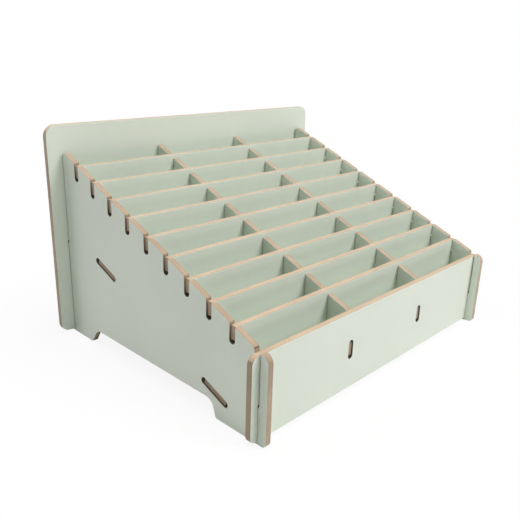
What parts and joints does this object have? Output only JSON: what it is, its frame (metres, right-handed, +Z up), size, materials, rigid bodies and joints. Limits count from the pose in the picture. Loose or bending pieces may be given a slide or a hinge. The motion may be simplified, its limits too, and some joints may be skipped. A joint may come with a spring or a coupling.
{
  "type": "desktop phone rack",
  "caption": "Open-topped stepped desktop rack of slotted painted fibreboard panels: rows of upright phone cells between two sloping side panels and a tall back panel.",
  "frame": {"origin": "on the table, under the middle of the rack's bounding box", "axes": "+Z up, -Y towards the low front, +X towards the right seen from the front"},
  "size_m": [0.3368, 0.264, 0.1931],
  "materials": {
    "outer_board": "satin sage green paint on both faces of thin fibreboard, bare tan cut edges",
    "inner_board": "satin sage green paint on both faces of thin fibreboard, bare tan cut edges"
  },
  "bodies": {
    "rack": {"side_panel_left": "outer_board", "side_panel_right": "outer_board", "front_panel": "outer_board", "back_panel": "outer_board", "shelf": "inner_board", "divider_1": "inner_board", "divider_2": "inner_board"},
    "row_panel_1": {"row_panel_1": "inner_board"},
    "row_panel_2": {"row_panel_2": "inner_board"},
    "row_panel_3": {"row_panel_3": "inner_board"},
    "row_panel_4": {"row_panel_4": "inner_board"},
    "row_panel_5": {"row_panel_5": "inner_board"},
    "row_panel_6": {"row_panel_6": "inner_board"},
    "row_panel_7": {"row_panel_7": "inner_board"},
    "row_panel_8": {"row_panel_8": "inner_board"},
    "row_panel_9": {"row_panel_9": "inner_board"}
  },
  "joints": [
    {"name": "row_panel_1_lift", "type": "slide", "parent": "rack", "child": "row_panel_1", "axis": [0, 0, 1], "range_m": [0, 0.066]},
    {"name": "row_panel_2_lift", "type": "slide", "parent": "rack", "child": "row_panel_2", "axis": [0, 0, 1], "range_m": [0, 0.066]},
    {"name": "row_panel_3_lift", "type": "slide", "parent": "rack", "child": "row_panel_3", "axis": [0, 0, 1], "range_m": [0, 0.066]},
    {"name": "row_panel_4_lift", "type": "slide", "parent": "rack", "child": "row_panel_4", "axis": [0, 0, 1], "range_m": [0, 0.066]},
    {"name": "row_panel_5_lift", "type": "slide", "parent": "rack", "child": "row_panel_5", "axis": [0, 0, 1], "range_m": [0, 0.066]},
    {"name": "row_panel_6_lift", "type": "slide", "parent": "rack", "child": "row_panel_6", "axis": [0, 0, 1], "range_m": [0, 0.066]},
    {"name": "row_panel_7_lift", "type": "slide", "parent": "rack", "child": "row_panel_7", "axis": [0, 0, 1], "range_m": [0, 0.066]},
    {"name": "row_panel_8_lift", "type": "slide", "parent": "rack", "child": "row_panel_8", "axis": [0, 0, 1], "range_m": [0, 0.066]},
    {"name": "row_panel_9_lift", "type": "slide", "parent": "rack", "child": "row_panel_9", "axis": [0, 0, 1], "range_m": [0, 0.066]}
  ]
}
